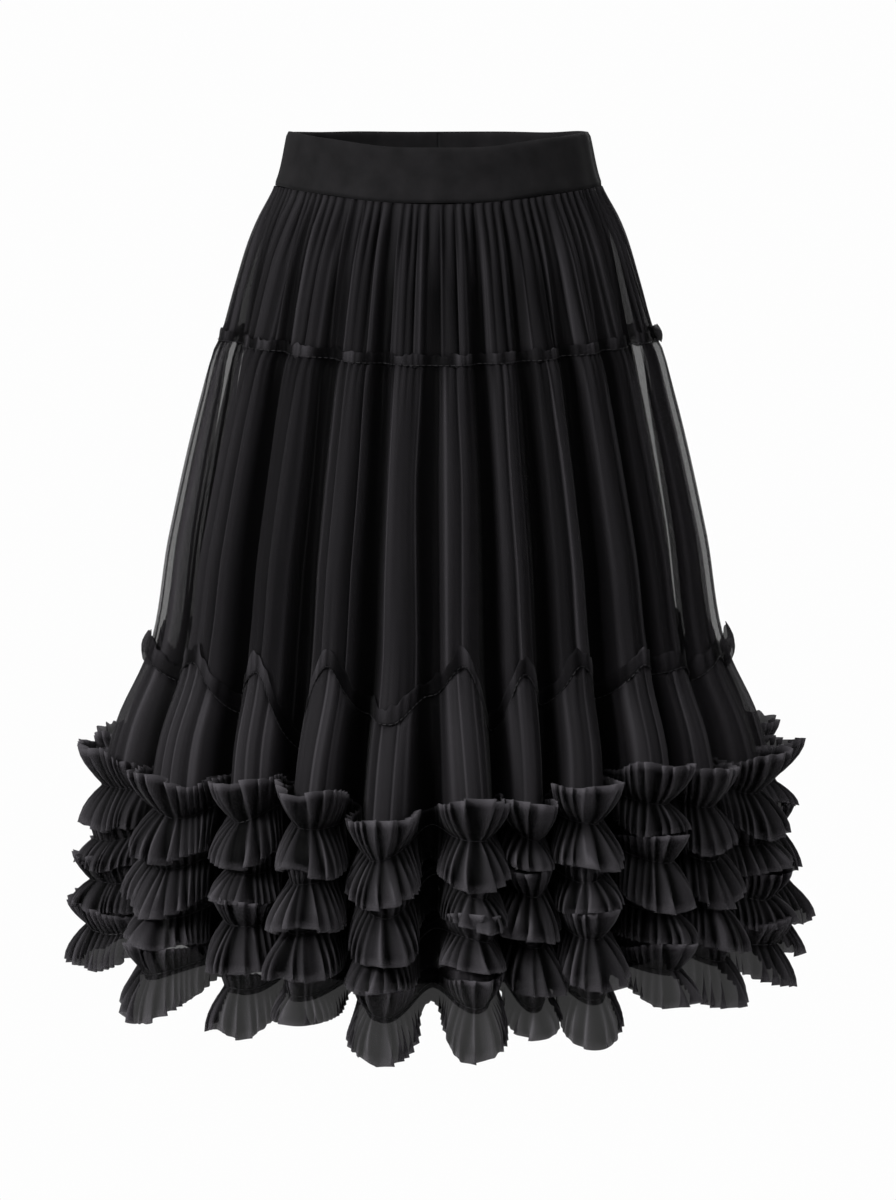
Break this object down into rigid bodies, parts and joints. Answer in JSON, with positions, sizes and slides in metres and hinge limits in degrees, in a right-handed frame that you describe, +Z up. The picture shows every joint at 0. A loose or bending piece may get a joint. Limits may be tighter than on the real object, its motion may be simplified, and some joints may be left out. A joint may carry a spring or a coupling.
{
  "type": "tulle skirt",
  "caption": "Midi skirt of gathered net, filled out as worn: shaped waistband, short yoke tier, long folded tier and rows of double ruffles to the hem over a plain A-line lining.",
  "frame": {"origin": "middle of the waist, half way up the waistband, where the wearer holds the skirt up", "axes": "+Z up, front of the skirt towards -Y, +X towards the right of someone looking at the front; the side seams lie on the XZ plane"},
  "size_m": [0.6695, 0.6155, 0.7622],
  "materials": {
    "band": "matte crepe",
    "net": "sheer net, faint sheen on the folds",
    "lining": "smooth satin weave"
  },
  "bodies": {
    "root": {"waistband_front": "band", "waistband_back_left": "band", "waistband_back_right": "band", "lining_front": "lining", "lining_back": "lining", "yoke_tier_front": "net", "yoke_tier_back": "net", "long_tier_front": "net", "long_tier_back": "net", "ruffle_tier_front": "net", "ruffle_tier_back": "net", "ruffle_1_front": "net", "ruffle_1_back": "net", "ruffle_2_front": "net", "ruffle_2_back": "net", "ruffle_3_front": "net", "ruffle_3_back": "net", "ruffle_4_front": "net", "ruffle_4_back": "net"}
  },
  "joints": []
}
